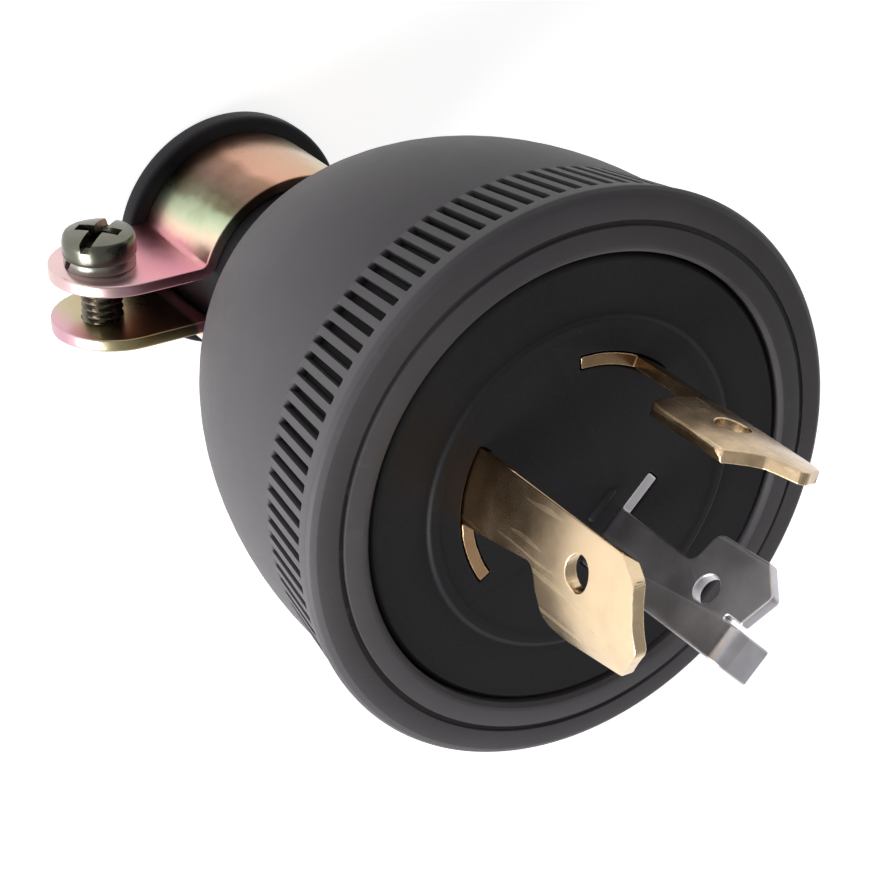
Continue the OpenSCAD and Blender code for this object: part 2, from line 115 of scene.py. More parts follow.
class PlugDetail(bpy.types.PropertyGroup):
    """Sizes of the fine detail, in millimetres"""

    ribs: IntProperty(
        name="Ribs", description="Number of ribs round the cover's grip",
        min=24, max=160, default=104)
    rib_depth: FloatProperty(
        name="Rib depth", description="Depth of the grooves between the ribs",
        min=0.2, max=1.2, default=0.8)
    grip_length: FloatProperty(
        name="Grip length", description="Length of the ribs along the axis",
        min=3, max=12, default=7.4)
    front_band: FloatProperty(
        name="Front band", description="Width of the plain band in front of the ribs",
        min=1, max=6, default=2.8)
    edge: FloatProperty(
        name="Moulded edge", description="Radius of the edges of moulded pieces",
        min=0.02, max=0.4, default=0.14)
    metal_edge: FloatProperty(
        name="Metal edge", description="Radius of the edges of stamped pieces",
        min=0.02, max=0.3, default=0.14)
    pitch: FloatProperty(
        name="Thread pitch", description="Pitch of the terminal and clamp screws",
        min=0.4, max=1, default=0.7)


class PlugStage(bpy.types.PropertyGroup):
    """Camera and lamps"""

    lens: FloatProperty(
        name="Lens", description="Focal length of the camera on a 36 mm sensor, in millimetres",
        min=20, max=300, default=123.1)
    camera: FloatVectorProperty(
        name="Camera place", description="Place of the camera in the part's frame",
        subtype="TRANSLATION", size=3, default=(-0.00422, 0.17456, 0.2431))
    camera_right: FloatVectorProperty(
        name="Camera right", description="Direction that the picture's right side points in",
        subtype="DIRECTION", size=3, default=(0.6031, -0.5986, 0.5272))
    camera_up: FloatVectorProperty(
        name="Camera up", description="Direction that the picture's top points in",
        subtype="DIRECTION", size=3, default=(0.7977, 0.4526, -0.3986))
    room: FloatProperty(
        name="Room light", description="Strength of the even light from the room",
        min=0, max=3, default=0.2)


# ---------------------------------------------------------------- shader helpers


def add(tree, kind, settings=None, **inputs):
    """One node of a tree. A keyword is an input's name, or i and its number. A value may be a socket."""
    node = tree.nodes.new(kind)
    for key, value in (settings or {}).items():
        setattr(node, key, value)
    for key, value in inputs.items():
        by_number = key[0] == "i" and key[1:].isdigit()
        socket = node.inputs[int(key[1:]) if by_number else key.replace("_", " ")]
        if isinstance(value, bpy.types.NodeSocket):
            tree.links.new(value, socket)
        elif isinstance(value, (tuple, list)) and len(value) == 3 and len(socket.default_value) == 4:
            socket.default_value = (*value, 1)
        else:
            socket.default_value = value
    return node


def maths(tree, operation, *values):
    """Output of a Math node."""
    return add(tree, "ShaderNodeMath", {"operation": operation},
               **{f"i{i}": v for i, v in enumerate(values)}).outputs[0]


def weighted(tree, a, b, share):
    """a and b mixed by b's share."""
    return maths(tree, "ADD", maths(tree, "MULTIPLY", a, 1 - share), maths(tree, "MULTIPLY", b, share))


def clamped(tree, a, b):
    """a times b, held between 0 and 1."""
    return add(tree, "ShaderNodeMath", {"operation": "MULTIPLY", "use_clamp": True}, i0=a, i1=b).outputs[0]


def noise(tree, vector, scale, detail, roughness=0.5):
    """Noise of that scale in the part's own space, where 1 unit is 1 m."""
    return add(tree, "ShaderNodeTexNoise", Vector=vector, Scale=scale, Detail=detail,
               Roughness=roughness).outputs["Fac"]


def ramp(tree, value, *stops):
    """Colour ramp with stops of (place, colour or grey)."""
    node = add(tree, "ShaderNodeValToRGB", Fac=value)
    elements = node.color_ramp.elements
    while len(elements) < len(stops):
        elements.new(0.5)
    for element, (place, colour) in zip(elements, stops):
        element.position = place
        element.color = (*colour, 1) if isinstance(colour, tuple) else (colour, colour, colour, 1)
    return node.outputs["Color"]


def blend(tree, factor, a, b, mode="MIX"):
    """Output of a colour mix."""
    node = add(tree, "ShaderNodeMix", {"data_type": "RGBA", "blend_type": mode})
    for index, value in ((0, factor), (6, a), (7, b)):
        socket = node.inputs[index]
        if isinstance(value, bpy.types.NodeSocket):
            tree.links.new(value, socket)
        else:
            socket.default_value = (*value, 1) if isinstance(value, tuple) else value
    return node.outputs[2]


def new_group(name, inputs, outputs):
    """An empty shader node group. Returns its tree, the outputs of its input node and its own outputs."""
    tree = bpy.data.node_groups.new(name, "ShaderNodeTree")
    for label, kind, default in inputs:
        socket = tree.interface.new_socket(label, in_out="INPUT", socket_type=kind)
        socket.default_value = default
    for label, kind in outputs:
        tree.interface.new_socket(label, in_out="OUTPUT", socket_type=kind)
    return tree, tree.nodes.new("NodeGroupInput").outputs, tree.nodes.new("NodeGroupOutput").inputs


FLOAT = "NodeSocketFloat"


def group_moulding():
    """Satin moulded surface: fine grain, flow marks and faint handling marks."""
    tree, given, result = new_group(
        "Moulded surface",
        [("Grain", FLOAT, 9000.0), ("Flow", FLOAT, 90.0)],
        [("Height", FLOAT), ("Shade", FLOAT), ("Gloss", FLOAT)])
    place = tree.nodes.new("ShaderNodeTexCoord").outputs["Object"]
    grain = noise(tree, place, given["Grain"], 2.0)
    flow = noise(tree, place, given["Flow"], 4.0, 0.6)
    marks = noise(tree, place, maths(tree, "MULTIPLY", given["Flow"], 5.0), 6.0, 0.7)
    tree.links.new(weighted(tree, grain, marks, 0.4), result["Height"])
    tree.links.new(weighted(tree, flow, grain, 0.3), result["Shade"])
    tree.links.new(weighted(tree, marks, flow, 0.4), result["Gloss"])
    return tree


def group_edges():
    """Wear and a painted highlight where a surface turns outwards, broken up by noise."""
    tree, given, result = new_group(
        "Edge rub and highlight", [("Amount", FLOAT, 0.5), ("Breakup", FLOAT, 900.0)], [("Mask", FLOAT)])
    geometry = tree.nodes.new("ShaderNodeNewGeometry")
    place = tree.nodes.new("ShaderNodeTexCoord").outputs["Object"]
    flat, gain = 0.52, 9.0
    edge = maths(tree, "MULTIPLY", maths(tree, "SUBTRACT", geometry.outputs["Pointiness"], flat), gain)
    broken = maths(tree, "MULTIPLY", edge, noise(tree, place, given["Breakup"], 5.0, 0.7))
    tree.links.new(clamped(tree, broken, given["Amount"]), result["Mask"])
    return tree


def group_recess():
    """Shade that gathers where a surface turns inwards."""
    tree, given, result = new_group("Recess shade", [("Amount", FLOAT, 0.5)], [("Mask", FLOAT)])
    geometry = tree.nodes.new("ShaderNodeNewGeometry")
    flat, gain = 0.495, 14.0
    inwards = maths(tree, "MULTIPLY", maths(tree, "SUBTRACT", flat, geometry.outputs["Pointiness"]), gain)
    tree.links.new(clamped(tree, inwards, given["Amount"]), result["Mask"])
    return tree


def group_dust():
    """Fine dust that settles on faces that look up."""
    tree, given, result = new_group("Settled dust", [("Amount", FLOAT, 0.2)], [("Mask", FLOAT)])
    geometry = tree.nodes.new("ShaderNodeNewGeometry")
    place = tree.nodes.new("ShaderNodeTexCoord").outputs["Object"]
    up = add(tree, "ShaderNodeSeparateXYZ", Vector=geometry.outputs["Normal"]).outputs["Z"]
    specks = ramp(tree, noise(tree, place, 2600.0, 4.0, 0.7), (0.45, 0.0), (0.75, 1.0))
    cloud = noise(tree, place, 160.0, 3.0)
    soft = maths(tree, "MULTIPLY", maths(tree, "MULTIPLY", specks, cloud), given["Amount"])
    tree.links.new(clamped(tree, soft, up), result["Mask"])
    return tree


def group_metal():
    """Rolled or machined metal: fine lines drawn out along Z, stains and small scratches."""
    tree, given, result = new_group(
        "Worked metal",
        [("Lines", FLOAT, 2500.0), ("Stretch", FLOAT, 0.08)],
        [("Height", FLOAT), ("Stain", FLOAT), ("Scratch", FLOAT)])
    place = tree.nodes.new("ShaderNodeTexCoord").outputs["Object"]
    stretch = add(tree, "ShaderNodeCombineXYZ", X=1.0, Y=1.0, Z=given["Stretch"]).outputs[0]
    along = add(tree, "ShaderNodeVectorMath", {"operation": "MULTIPLY"}, i0=place, i1=stretch).outputs[0]
    lines = noise(tree, along, given["Lines"], 3.0, 0.6)
    stain = noise(tree, place, 230.0, 5.0, 0.62)
    coarse = maths(tree, "MULTIPLY", given["Lines"], 0.5)
    scratch = ramp(tree, noise(tree, along, coarse, 1.0), (0.62, 0.0), (0.66, 1.0))
    tree.links.new(lines, result["Height"])
    tree.links.new(stain, result["Stain"])
    tree.links.new(scratch, result["Scratch"])
    return tree


GROUPS = {"Moulded surface": group_moulding, "Edge rub and highlight": group_edges, "Recess shade": group_recess,
          "Settled dust": group_dust, "Worked metal": group_metal}


def use(tree, name, **inputs):
    """Places a shared group in a material and returns its outputs."""
    shared = bpy.data.node_groups.get(name) or GROUPS[name]()
    return add(tree, "ShaderNodeGroup", {"node_tree": shared}, **inputs).outputs


def start_material(name):
    """A new material and its empty tree."""
    material = bpy.data.materials.new(name)
    material.use_nodes = True
    material.node_tree.nodes.clear()
    return material, material.node_tree


def finish_material(tree, height, bump, **inputs):
    """Principled shader with a bump of that height in millimetres, wired to the output."""
    bumped = add(tree, "ShaderNodeBump", Height=height, Strength=1.0, Distance=bump * MM).outputs["Normal"]
    shader = add(tree, "ShaderNodeBsdfPrincipled", Normal=bumped, **inputs)
    add(tree, "ShaderNodeOutputMaterial", Surface=shader.outputs[0])


def made(name):
    """The material of that name, or None before it is made."""
    return bpy.data.materials.get(name)


# ---------------------------------------------------------------- materials


def moulding(name, colour, roughness, dust, rub_and_highlight, shine=0.35):
    """Satin moulded plastic or rubber with painted shade: it is darker in recesses, and black in the grip's
    grooves.
    """
    if made(name):
        return made(name)
    material, tree = start_material(name)
    colour = tuple(colour)
    surface = use(tree, "Moulded surface")
    rubbed_and_lit = use(tree, "Edge rub and highlight", Amount=rub_and_highlight)["Mask"]
    settled = use(tree, "Settled dust", Amount=dust)["Mask"]
    recess = use(tree, "Recess shade", Amount=0.9)["Mask"]
    groove = add(tree, "ShaderNodeAttribute", {"attribute_name": "groove"}).outputs["Fac"]
    dark = tuple(c * 0.7 for c in colour)
    pale = tuple(c * 1.3 + 0.003 for c in colour)
    base = blend(tree, surface["Shade"], dark, pale)
    # Painted shade darkens the recesses.
    base = blend(tree, recess, base, tuple(c * 0.25 for c in colour))
    # Edges are lightened, partly as wear and partly as a painted highlight.
    base = blend(tree, rubbed_and_lit, base, tuple(c + 0.05 for c in colour))
    base = blend(tree, settled, base, (0.32, 0.31, 0.3))
    # Painted shade: the floors of the grip's grooves are made near black.
    base = blend(tree, groove, base, (0.004, 0.004, 0.004))
    swing = 0.22
    rough = maths(tree, "MULTIPLY_ADD", surface["Gloss"], swing, roughness - swing / 2)
    rough = maths(tree, "MULTIPLY_ADD", settled, 0.3, rough)
    rough = maths(tree, "MULTIPLY_ADD", groove, 0.3, rough)
    finish_material(tree, surface["Height"], 0.02, Base_Color=base, Roughness=rough,
                    Specular_IOR_Level=shine)
    return material


def metal(name, colour, roughness, stain=0.25, metallic=1.0, base_shade=None):
    """Plated or bare metal with rolling lines, stains and scratches.

    Its last argument is (low, high, colour): painted shade browns the metal below low, and it is clean
    above high, in millimetres.
    """
    if made(name):
        return made(name)
    material, tree = start_material(name)
    colour = tuple(colour)
    work = use(tree, "Worked metal")
    rubbed_and_lit = use(tree, "Edge rub and highlight", Amount=0.8)["Mask"]
    dull = tuple(c * (1 - stain) for c in colour)
    base = blend(tree, ramp(tree, work["Stain"], (0.35, 0.0), (0.7, 1.0)), dull, colour)
    # Painted shade: the metal is browned towards the core's face.
    if base_shade:
        low, high, shade_tint = base_shade
        place = tree.nodes.new("ShaderNodeTexCoord").outputs["Object"]
        height = add(tree, "ShaderNodeSeparateXYZ", Vector=place).outputs["Z"]
        drift = maths(tree, "MULTIPLY", maths(tree, "SUBTRACT", work["Stain"], 0.5), (high - low) * MM)
        spread = add(tree, "ShaderNodeMapRange", {"interpolation_type": "SMOOTHSTEP"},
                     Value=maths(tree, "ADD", height, drift), From_Min=low * MM, From_Max=high * MM)
        base = blend(tree, spread.outputs[0], blend(tree, 1.0, base, shade_tint, "MULTIPLY"), base)
    # Edges are brightened, partly as wear and partly as a painted highlight.
    base = blend(tree, rubbed_and_lit, base, tuple(min(1.0, c * 1.15 + 0.05) for c in colour))
    swing = 0.18
    rough = maths(tree, "MULTIPLY_ADD", work["Stain"], swing, roughness - swing / 2)
    rough = maths(tree, "MULTIPLY_ADD", work["Scratch"], 0.06, rough)
    finish_material(tree, work["Height"], 0.006, Base_Color=base, Roughness=rough, Metallic=metallic)
    return material


def by_distance(tree, distance, *stops):
    """Colour ramp over a distance, with stops of (millimetres, colour or grey)."""
    reach = 25.0
    share = maths(tree, "MULTIPLY", distance, 1 / (reach * MM))
    return ramp(tree, share, *((place / reach, colour) for place, colour in stops))


def chromate(name):
    """Zinc plate under a thin chromate film.

    Its colours change round the ring, with the angle from the ears in radians. The near ear is rose, and
    the far one brown and gold.
    """
    if made(name):
        return made(name)
    material, tree = start_material(name)
    place = tree.nodes.new("ShaderNodeTexCoord").outputs["Object"]
    x, y = add(tree, "ShaderNodeSeparateXYZ", Vector=place).outputs[:2]
    work = use(tree, "Worked metal", Lines=1800.0, Stretch=1.0)
    drift = noise(tree, place, 150.0, 3.0, 0.5)
    wander = maths(tree, "MULTIPLY", maths(tree, "SUBTRACT", drift, 0.5), 0.24)
    radius = maths(tree, "SQRT", maths(tree, "ADD", maths(tree, "MULTIPLY", x, x),
                                       maths(tree, "MULTIPLY", y, y)))

    along = maths(tree, "SUBTRACT", y, x)
    out = maths(tree, "ADD", x, y)
    angle = maths(tree, "ABSOLUTE", maths(tree, "ARCTAN2", out, along))
    start, reach = 0.16, 1.9
    film = maths(tree, "DIVIDE", maths(tree, "SUBTRACT", angle, start), reach)
    film = maths(tree, "PINGPONG", maths(tree, "ADD", film, wander), 1.0)
    ring = ramp(
        tree, film, (0.12, (0.70, 0.30, 0.33)), (0.16, (0.90, 0.56, 0.47)), (0.21, (0.90, 0.74, 0.54)),
        (0.27, (0.62, 0.68, 0.46)), (0.33, (0.40, 0.47, 0.30)), (0.37, (0.18, 0.17, 0.10)),
        (0.42, (0.12, 0.09, 0.05)), (0.50, (0.19, 0.10, 0.07)), (0.60, (0.30, 0.16, 0.10)),
        (0.66, (0.62, 0.33, 0.23)), (0.85, (0.66, 0.43, 0.27)), (0.95, (0.70, 0.60, 0.43)),
        (1.0, (0.66, 0.55, 0.36)))

    outwards = maths(tree, "ADD", radius, maths(tree, "MULTIPLY", wander, 8 * MM))
    near_ear = by_distance(
        tree, outwards, (11.0, (0.70, 0.27, 0.35)), (15.5, (0.74, 0.31, 0.36)),
        (18.0, (0.62, 0.36, 0.40)), (21.25, (0.70, 0.50, 0.50)))
    far_ear = by_distance(
        tree, outwards, (11.5, (0.16, 0.12, 0.06)), (16.5, (0.42, 0.32, 0.14)),
        (20.0, (0.46, 0.40, 0.24)), (22.0, (0.62, 0.36, 0.42)))
    ears = blend(tree, maths(tree, "GREATER_THAN", out, 0.0), far_ear, near_ear)
    base = blend(tree, by_distance(tree, radius, (11.1, 0.0), (11.5, 1.0)), ring, ears)
    stain = ramp(tree, work["Stain"], (0.4, 0.0), (0.75, 0.1))
    base = blend(tree, stain, base, (0.80, 0.76, 0.62))
    rough = maths(tree, "MULTIPLY_ADD", work["Stain"], 0.2, 0.2)
    finish_material(tree, work["Height"], 0.008, Base_Color=base, Roughness=rough, Metallic=1.0)
    return material


# ---------------------------------------------------------------- mesh tools


def middle_of(node):
    """Middle of a node's box, in millimetres."""
    low, high = CAD[node]
    return (low + high) / (2 * MM)


def linked(name, mesh, material, node):
    """Adds a finished mesh as a piece that stands for that CAD node and rides on its body."""
    mesh.materials.append(material)
    piece = bpy.data.objects.new(name, mesh)
    bpy.context.scene.collection.objects.link(piece)
    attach(piece, "root")
    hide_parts(node)
    return piece


def face_outwards(shape):
    """Turns all faces of a closed bmesh outwards."""
    bmesh.ops.recalc_face_normals(shape, faces=shape.faces)
    if shape.calc_volume(signed=True) < 0:
        bmesh.ops.reverse_faces(shape, faces=shape.faces)
    shape.normal_update()


def smoothed(shape, name, sharp=32):
    """Turns a bmesh into a mesh with smooth faces and creases at its sharp edges."""
    face_outwards(shape)
    mesh = bpy.data.meshes.new(name)
    shape.to_mesh(mesh)
    shape.free()
    mesh.polygons.foreach_set("use_smooth", [True] * len(mesh.polygons))
    mesh.set_sharp_from_angle(angle=math.radians(sharp))
    return mesh


def woven(rows, loop=False, caps=False):
    """A bmesh of quads through closed rows of points. loop joins the last row to the first."""
    shape = bmesh.new()
    lines = [[shape.verts.new(point) for point in row] for row in rows]
    for k in range(len(lines) if loop else len(lines) - 1):
        low, high = lines[k], lines[(k + 1) % len(lines)]
        for i in range(len(low)):
            j = (i + 1) % len(low)
            shape.faces.new((low[i], low[j], high[j], high[i]))
    if caps:
        shape.faces.new(lines[0])
        shape.faces.new(list(reversed(lines[-1])))
    return shape


def lathe(profile, angles, closed=True, change=None):
    """Revolves points (radius, height) in millimetres round the Z axis.

    An outline that isn't closed has its ends on the axis. change(angle, k, r, z) may move point k.
    """
    rows = []
    for k, (r, z) in enumerate(profile):
        row = []
        for angle in angles:
            radius, height = change(angle, k, r, z) if change else (r, z)
            row.append((radius * math.cos(angle) * MM, radius * math.sin(angle) * MM, height * MM))
        rows.append(row)
    shape = woven(rows, loop=closed)
    if not closed:
        for row in (shape.verts[:len(angles)], shape.verts[-len(angles):]):
            middle = sum((v.co for v in row), Vector()) / len(row)
            bmesh.ops.pointmerge(shape, verts=row, merge_co=middle)
    return shape


def even(count):
    """That many angles, evenly round a circle."""
    return [2 * math.pi * i / count for i in range(count)]


def soften(points, radius, steps):
    """Closed outline with its corners rounded. A point may carry its own radius as a third number."""
    straight = math.radians(86)
    out = []
    for i, point in enumerate(points):
        here = Vector(point[:2])
        before = Vector(points[i - 1][:2]) - here
        after = Vector(points[(i + 1) % len(points)][:2]) - here
        size = point[2] if len(point) > 2 else radius
        half = before.angle(after) / 2
        if size <= 0 or half > straight:
            out.append(tuple(here))
            continue
        reach = min(size / math.tan(half), 0.45 * before.length, 0.45 * after.length)
        start, end = here + before.normalized() * reach, here + after.normalized() * reach
        for k in range(steps + 1):
            t = k / steps
            out.append(tuple(start * (1 - t) ** 2 + here * 2 * t * (1 - t) + end * t ** 2))
    return out


def carved(mesh, cutter, operation="DIFFERENCE"):
    """The mesh after a boolean with a cutter mesh."""
    pair = [bpy.data.objects.new("work", m) for m in (mesh, cutter)]
    for item in pair:
        bpy.context.scene.collection.objects.link(item)
    boolean = pair[0].modifiers.new("cut", "BOOLEAN")
    boolean.object = pair[1]
    boolean.operation = operation
    boolean.solver = "EXACT"
    bpy.context.view_layer.update()
    result = bpy.data.meshes.new_from_object(pair[0].evaluated_get(bpy.context.evaluated_depsgraph_get()))
    for item in pair:
        bpy.data.objects.remove(item)
    result.name = mesh.name
    return result


def cad_shape(node):
    """A bmesh of a CAD node's form, with the corners that its faces share merged."""
    shape = bmesh.new()
    shape.from_mesh(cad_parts[node].data)
    bmesh.ops.remove_doubles(shape, verts=shape.verts, dist=0.001 * MM)
    return shape


def rounded_copy(name, node, material, width, steps=2):
    """A piece with a CAD node's exact form and rounded edges. The width is in millimetres."""
    shape = cad_shape(node)
    bmesh.ops.dissolve_limit(shape, angle_limit=math.radians(0.6), verts=shape.verts, edges=shape.edges)
    mesh = bpy.data.meshes.new(name)
    shape.to_mesh(mesh)
    shape.free()
    mesh.materials.clear()
    mesh.polygons.foreach_set("use_smooth", [True] * len(mesh.polygons))
    piece = linked(name, mesh, material, node)
    bevel = piece.modifiers.new("edges", "BEVEL")
    bevel.width = width * MM
    bevel.segments = steps
    bevel.limit_method = "ANGLE"
    bevel.angle_limit = SHARP
    bevel.use_clamp_overlap = False
    bevel.miter_outer = "MITER_ARC"
    normals = piece.modifiers.new("normals", "WEIGHTED_NORMAL")
    normals.weight = 80
    return piece


def rolled_copy(name, node, material, width):
    """A line blade, which is a plate rolled round the Z axis. It is unrolled flat to round its edges.

    Flat, X runs round the circle, Y outwards and Z along the axis. Back in place it gets the normals of
    its flat faces, so its rounded edges shade smoothly.
    """
    shape = cad_shape(node)
    centre = middle_of(node)
    turn = Matrix.Rotation(-math.atan2(centre.y, centre.x), 4, "Z")
    radius = BLADE_CIRCLE * MM
    for vert in shape.verts:
        x, y, z = turn @ vert.co
        vert.co = (radius * math.atan2(y, x), math.hypot(x, y) - radius, z)
    bmesh.ops.dissolve_limit(shape, angle_limit=math.radians(2), verts=shape.verts, edges=shape.edges)
    rim = [edge for edge in shape.edges if edge.is_manifold and edge.calc_face_angle() > SHARP]
    rounded = bmesh.ops.bevel(shape, geom=rim, offset=width * MM, segments=3, profile=0.5,
                              affect="EDGES", clamp_overlap=False)["faces"]
    for face in rounded:
        face.material_index = 1
    bmesh.ops.triangulate(shape, faces=[face for face in shape.faces if len(face.verts) > 4])
    for degrees in range(-42, 43, 3):
        everything = shape.verts[:] + shape.edges[:] + shape.faces[:]
        bmesh.ops.bisect_plane(shape, geom=everything, dist=0.0001 * MM,
                               plane_co=(radius * math.radians(degrees), 0, 0), plane_no=(1, 0, 0))
    face_outwards(shape)
    back = turn.inverted()
    normals = []
    for vert in shape.verts:
        along, lift, z = vert.co
        flat = [face for face in vert.link_faces if face.material_index == 0] or vert.link_faces
        way = sum((face.normal * face.calc_area() for face in flat), Vector()).normalized()
        outwards = Vector((math.cos(along / radius), math.sin(along / radius), 0))
        onwards = Vector((-outwards.y, outwards.x, 0))
        normals.append(back @ (onwards * way.x + outwards * way.y + Vector((0, 0, way.z))))
        vert.co = back @ (outwards * (radius + lift) + Vector((0, 0, z)))
    for face in shape.faces:
        face.material_index = 0
    # Bevels number their faces differently in every run, so the faces are put in order of place.
    placed = sorted(shape.faces, key=lambda face: tuple(face.calc_center_median()))
    rank = {face: i for i, face in enumerate(placed)}
    shape.faces.sort(key=rank.get)
    mesh = smoothed(shape, name, 180)
    mesh.normals_split_custom_set_from_vertices(normals)
    return linked(name, mesh, material, node)


def turned(place, towards, across):
    """Matrix that puts local +Z along towards and local +X along across, at a place in millimetres."""
    z = Vector(towards).normalized()
    x = Vector(across).normalized()
    return Matrix.Translation(Vector(place) * MM) @ Matrix((x, z.cross(x), z)).transposed().to_4x4()


def ease(value, low, high):
    """0 below low, 1 above high and a smooth step between."""
    t = min(1.0, max(0.0, (value - low) / (high - low)))
    return t * t * (3 - 2 * t)


# ---------------------------------------------------------------- pieces


def groove_share(angle, count):
    """How deep the grip is cut at an angle: 0 on a rib and 1 on the floor between two."""
    place = (angle * count / (2 * math.pi)) % 1.0
    return ease(min(place, 1 - place), RIB_TOP, GROOVE_FLOOR)


def cover_section(start, end):
    """Closed section of the cover with its grip between two heights, as (radius, height) in millimetres."""
    low, high = CAD["cover"]
    rim, rear, face = high.x / MM, low.z / MM, high.z / MM
    seat = CAD["core"][0].z / MM
    dome_r, arc, wall = rim - 1.5, 48.25, 3.0
    opening, lip, bore, cavity = 9.25, 13.1, 20.65, 18.95
    skirt, floor, margin = rear + 0.37, rear + 4.1, 0.08

    def dome(z, radius=arc):
        return dome_r - arc + math.sqrt(radius ** 2 - (start - z) ** 2)

    outside = [(opening, rear, 0.2), (lip, rear, 0.4)]
    outside += [(dome(z), z) for z in (skirt + (start - skirt) * (k / 14) ** 0.85 for k in range(14))]
    outside.append((dome(start - margin), start - margin))

    length = end - start
    rise = (rim - 0.33 - dome_r) / length
    run_out = (0, 0.1, 0.2, 0.32, 0.45, 0.6)
    grip = [*run_out, 0.35 * length, 0.65 * length, *(length - up for up in reversed(run_out))]
    outside += [(dome_r + rise * up, start + up) for up in grip]

    crest, brow, fall = bore + 0.7, rim - 1.2, 0.5
    slope = fall / (brow - crest)
    groove_r, groove_inner, groove_floor = 23.38, 22.9, face - 0.6
    front = [(dome_r + rise * (length + margin), end + margin), (rim, end + 1.4, 0.3),
             (rim - 0.24, face - 0.98, 0.3), (rim - 0.72, face - 0.62, 0.2), (brow, face - fall, 0.25)]
    front += [(groove_r, face - slope * (groove_r - crest), 0.1), (groove_r, groove_floor, 0.08),
              (groove_inner, groove_floor, 0.08),
              (groove_inner, face - slope * (groove_inner - crest), 0.1)]
    front += [(crest, face, 0.2), (bore + 0.35, face, 0.1), (bore, face - 0.35, 0.1)]

    inside = [(bore, seat, 0), (cavity, seat, 0.2), (cavity, 37.8)]
    inside += [(dome(z, arc - wall), z) for z in (35.0, 32.0, 29.0)]
    inside += [(dome(floor, arc - wall), floor, 0.3), (opening, floor, 0.2)]
    return soften(outside + front + inside, 0, 2)


def build_cover(detail, material):
    """Domed cover whose grip is cut into ribs that run out in rounded ends."""
    end = CAD["cover"][1].z / MM - detail.front_band
    start = end - detail.grip_length
    flank = (RIB_TOP, 0.26, 0.29, GROOVE_FLOOR)
    places = (0, *flank, 0.5, *(1 - place for place in reversed(flank)))
    angles = [2 * math.pi * (i + place) / detail.ribs for i in range(detail.ribs) for place in places]
    inner = CAD["core"][1].x / MM + 1.0
    run_out = 0.5
    shares = []

    def cut(angle, k, r, z):
        along = ease(z, start, start + run_out) * (1 - ease(z, end - run_out, end)) if r > inner else 0.0
        shares.append(along * groove_share(angle, detail.ribs))
        return r - detail.rib_depth * shares[-1], z

    mesh = smoothed(lathe(cover_section(start, end), angles, change=cut), "ribbed_cover", 38)
    # The groove share also paints shade into the grooves, through the cover's material.
    mesh.attributes.new("groove", "FLOAT", "POINT").data.foreach_set("value", shares)
    return linked("ribbed_cover", mesh, material, "cover")


def build_bush(material):
    """Rubber bush: a rear flange, a neck for the clamp and an inner flange behind the cover's lip."""
    top = CAD["cord_bush"][1].z / MM
    neck, cord, flange, inner = 9.15, 6.5, 11.9, 12.78
    rear, front, lead, chamfer = 2.2, top - 3, 1, 0.8
    section = [(cord + lead, 0, 0.5), (flange, 0, 0.55), (flange, rear, 0.55), (neck, rear, 0.3),
               (neck, front, 0.3), (inner, front, 0.3), (inner, top - chamfer, 0.3),
               (inner - chamfer, top, 0.3), (cord, top, 0.5), (cord, lead, 0.4)]
    mesh = smoothed(lathe(soften(section, 0.3, 4), even(120)), "rubber_bush", 40)
    return linked("rubber_bush", mesh, material, "cord_bush")


def band_path():
    """Middle line of the clamp band, from the tip of one ear to the tip of the other, in millimetres.

    A point is (x, y, x and y of the outward normal, half of the strip's width there).
    """
    half, inner, tip, bend = 6.2, 9.2, 16.4, 0.7
    middle, ear = inner + STRIP / 2, (EAR_GAP + STRIP) / 2
    bend_y = EAR_GAP / 2 + STRIP + bend
    bend_x = math.sqrt((inner + STRIP + bend) ** 2 - bend_y ** 2)
    turn = math.atan2(bend_y, bend_x)

    path = []
    for degrees in (87, 80, 72, 63, 54, 45, 36, 27, 18, 9):
        a = math.radians(degrees)
        path.append((tip + half * math.sin(a), -ear, 0, -1, half * math.cos(a)))
    path += [(tip + (bend_x - tip) * k / 3, -ear, 0, -1, half) for k in range(3)]
    for k in range(9):
        a = math.pi / 2 + (math.pi / 2 - turn) * k / 9
        x, y = math.cos(a), math.sin(a)
        path.append((bend_x + (bend + STRIP / 2) * x, (bend + STRIP / 2) * y - bend_y, -x, -y, half))
    for k in range(45):
        a = -turn - (math.pi - turn) * k / 45
        x, y = math.cos(a), math.sin(a)
        path.append((middle * x, middle * y, x, y, half))
    path.append((-middle, 0, -1, 0, half))
    return path + [(x, -y, nx, -ny, h) for x, y, nx, ny, h in reversed(path[:-1])]


def band_rows():
    """Rows of points across the clamp band with its edges rounded, in millimetres."""
    rows = []
    for x, y, nx, ny, half in band_path():
        r = min(0.2, 0.8 * half)
        loop = []
        for u, v in ((1, 1), (1, -1), (-1, -1), (-1, 1)):
            quarter = [(k / 3) * math.pi / 2 for k in range(4)]
            if u * v < 0:
                quarter.reverse()
            for a in quarter:
                loop.append((u * (STRIP / 2 - r + r * math.sin(a)), v * (half - r + r * math.cos(a))))
        rows.append([(x + n * nx, y + n * ny, z) for n, z in loop])
    return rows


def round_body(name, outline, turn):
    """A short round body that is revolved from an outline and placed by a matrix."""
    mesh = smoothed(lathe(outline, even(64), closed=False), name)
    mesh.transform(turn)
    return mesh


